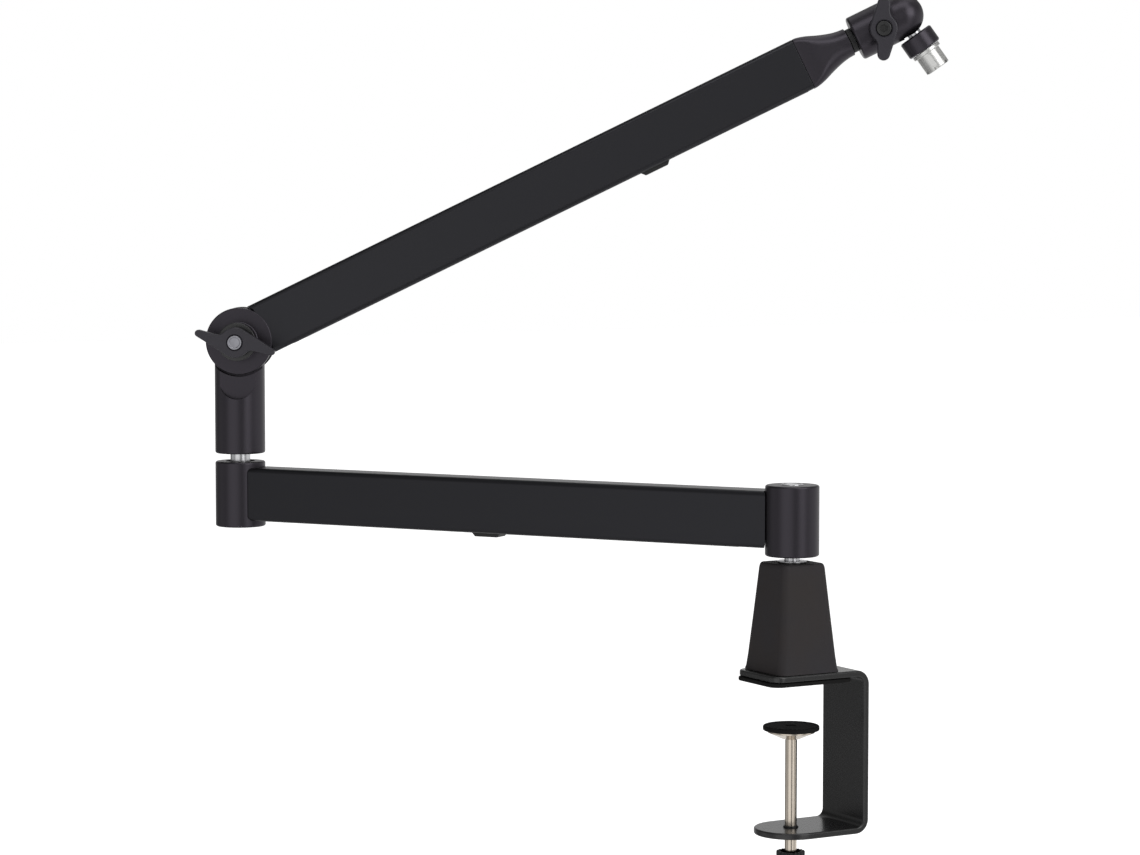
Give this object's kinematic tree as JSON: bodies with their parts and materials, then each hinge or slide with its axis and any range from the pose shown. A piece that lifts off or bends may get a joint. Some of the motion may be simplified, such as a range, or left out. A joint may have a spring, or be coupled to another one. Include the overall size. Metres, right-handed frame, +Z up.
{
  "type": "desktop microphone stand",
  "caption": "Low-profile boom arm that holds a microphone over a desk: swivelling arms, tilting elbow, locking head, desk clamp.",
  "frame": {"origin": "middle of the desk pad's underside, on the axis of the riser and of the clamp screw", "axes": "+Z up, along the riser and the clamp screw; +X from the clamp's mouth to its back; +Y completes a right-handed set"},
  "size_m": [0.4658, 0.3999, 0.5995],
  "materials": {
    "powder_coat": "fine black powder coat on extruded aluminium, semi-matt",
    "satin_casting": "black painted die casting, satin, a little brighter than the profiles",
    "black_steel": "black painted steel, satin",
    "black_plastic": "black moulded plastic, fine matt grain",
    "rubber": "black moulded rubber",
    "nickel": "bright nickel plate, slightly warm",
    "bright_steel": "turned bright steel",
    "zinc": "zinc plate, satin",
    "acetal": "black acetal, waxy, for the sliding faces",
    "magnet": "plated magnet"
  },
  "bodies": {
    "clamp": {"clamp_bracket": "black_steel", "desk_pad": "rubber", "riser_housing": "powder_coat", "riser_top_bush": "bright_steel", "riser_low_bush": "bright_steel", "thrust_disc": "acetal", "riser_screw_1": "bright_steel", "riser_screw_2": "bright_steel", "riser_screw_3": "bright_steel", "riser_screw_4": "bright_steel", "thread_bush": "black_steel"},
    "clamp_pad": {"screw_cup": "nickel", "screw_pad": "rubber"},
    "clamp_screw": {"clamp_screw": "nickel", "clamp_grip": "black_plastic", "grip_pin": "bright_steel"},
    "lower_arm": {"base_hub": "satin_casting", "base_spigot": "bright_steel", "base_hub_cap": "bright_steel", "lower_tube": "powder_coat", "elbow_hub": "satin_casting", "elbow_sleeve": "acetal", "base_socket_screw": "black_steel", "elbow_socket_screw": "black_steel", "lower_catch_1": "zinc", "lower_catch_2": "zinc"},
    "lower_cover": {"lower_cover": "black_plastic", "lower_magnet_1": "magnet", "lower_magnet_2": "magnet"},
    "elbow_column": {"column_body": "satin_casting", "elbow_spigot": "bright_steel", "retainer_washer": "bright_steel", "retainer_screw": "black_steel", "friction_washer_1": "acetal", "friction_washer_2": "acetal"},
    "upper_arm": {"elbow_fork": "satin_casting", "upper_tube": "powder_coat", "upper_neck": "satin_casting", "neck_ring": "black_plastic", "pivot_bolt": "zinc", "lever_washer": "black_steel", "fork_socket_screw": "black_steel", "neck_socket_screw": "black_steel", "upper_catch_1": "zinc", "upper_catch_2": "zinc"},
    "upper_cover": {"upper_cover": "black_plastic", "upper_magnet_1": "magnet", "upper_magnet_2": "magnet"},
    "elbow_lever": {"elbow_lever": "satin_casting"},
    "head": {"head_housing": "satin_casting", "neck_stem": "bright_steel", "neck_screw": "black_steel", "head_lever_nut": "zinc"},
    "head_lever": {"head_lever": "satin_casting", "head_lever_screw": "black_steel"},
    "ball_stem": {"ball_stem": "bright_steel"},
    "lock_collar": {"lock_collar": "satin_casting"},
    "thread_adapter": {"thread_adapter": "nickel"}
  },
  "joints": [
    {"name": "pad_travel", "type": "slide", "parent": "clamp", "child": "clamp_pad", "axis": [0, 0, 1], "range_m": [-0.055, 0.01]},
    {"name": "grip_turn", "type": "hinge", "parent": "clamp_pad", "child": "clamp_screw", "pos_m": [0, 0, 0], "axis": [0, 0, 1], "range_deg": [-15880, 2910]},
    {"name": "base_swivel", "type": "hinge", "parent": "clamp", "child": "lower_arm", "pos_m": [0, 0, 0.0812], "axis": [0, 0, 1], "continuous": true},
    {"name": "lower_cover_off", "type": "slide", "parent": "lower_arm", "child": "lower_cover", "axis": [0, 0, -1], "range_m": [0, 0.03]},
    {"name": "elbow_swivel", "type": "hinge", "parent": "lower_arm", "child": "elbow_column", "pos_m": [-0.22984, 0.35392, 0.1327], "axis": [0, 0, 1], "continuous": true},
    {"name": "elbow_tilt", "type": "hinge", "parent": "elbow_column", "child": "upper_arm", "pos_m": [-0.229, 0.35341, 0.21161], "axis": [-0.5165, -0.8563, 0], "range_deg": [-26, 64]},
    {"name": "upper_cover_off", "type": "slide", "parent": "upper_arm", "child": "upper_cover", "axis": [0.3754, -0.2264, -0.8988], "range_m": [0, 0.03]},
    {"name": "elbow_lever_turn", "type": "hinge", "parent": "upper_arm", "child": "elbow_lever", "pos_m": [-0.229, 0.35341, 0.21161], "axis": [-0.5165, -0.8563, 0], "range_deg": [0, 360]},
    {"name": "head_swivel", "type": "hinge", "parent": "upper_arm", "child": "head", "pos_m": [0.13773, 0.13219, 0.42117], "axis": [0.7696, -0.4643, 0.4384], "range_deg": [-170, 170]},
    {"name": "head_lever_turn", "type": "hinge", "parent": "head", "child": "head_lever", "pos_m": [0.15383, 0.12248, 0.42756], "axis": [-0.5165, -0.8563, 0], "range_deg": [0, 360]},
    {"name": "ball_tilt", "type": "hinge", "parent": "head", "child": "ball_stem", "pos_m": [0.16551, 0.11543, 0.43699], "axis": [-0.5165, -0.8563, 0], "range_deg": [-9.5, 80.5]},
    {"name": "collar_turn", "type": "hinge", "parent": "ball_stem", "child": "lock_collar", "pos_m": [0.17645, 0.10883, 0.41908], "axis": [0.4972, -0.3, -0.8141], "range_deg": [0, 360]},
    {"name": "adapter_off", "type": "slide", "parent": "ball_stem", "child": "thread_adapter", "axis": [0.4972, -0.3, -0.8141], "range_m": [0, 0.02]}
  ],
  "couplings": [
    {"joint": "grip_turn", "follows": "pad_travel", "rad_per_m": 5026.5}
  ]
}
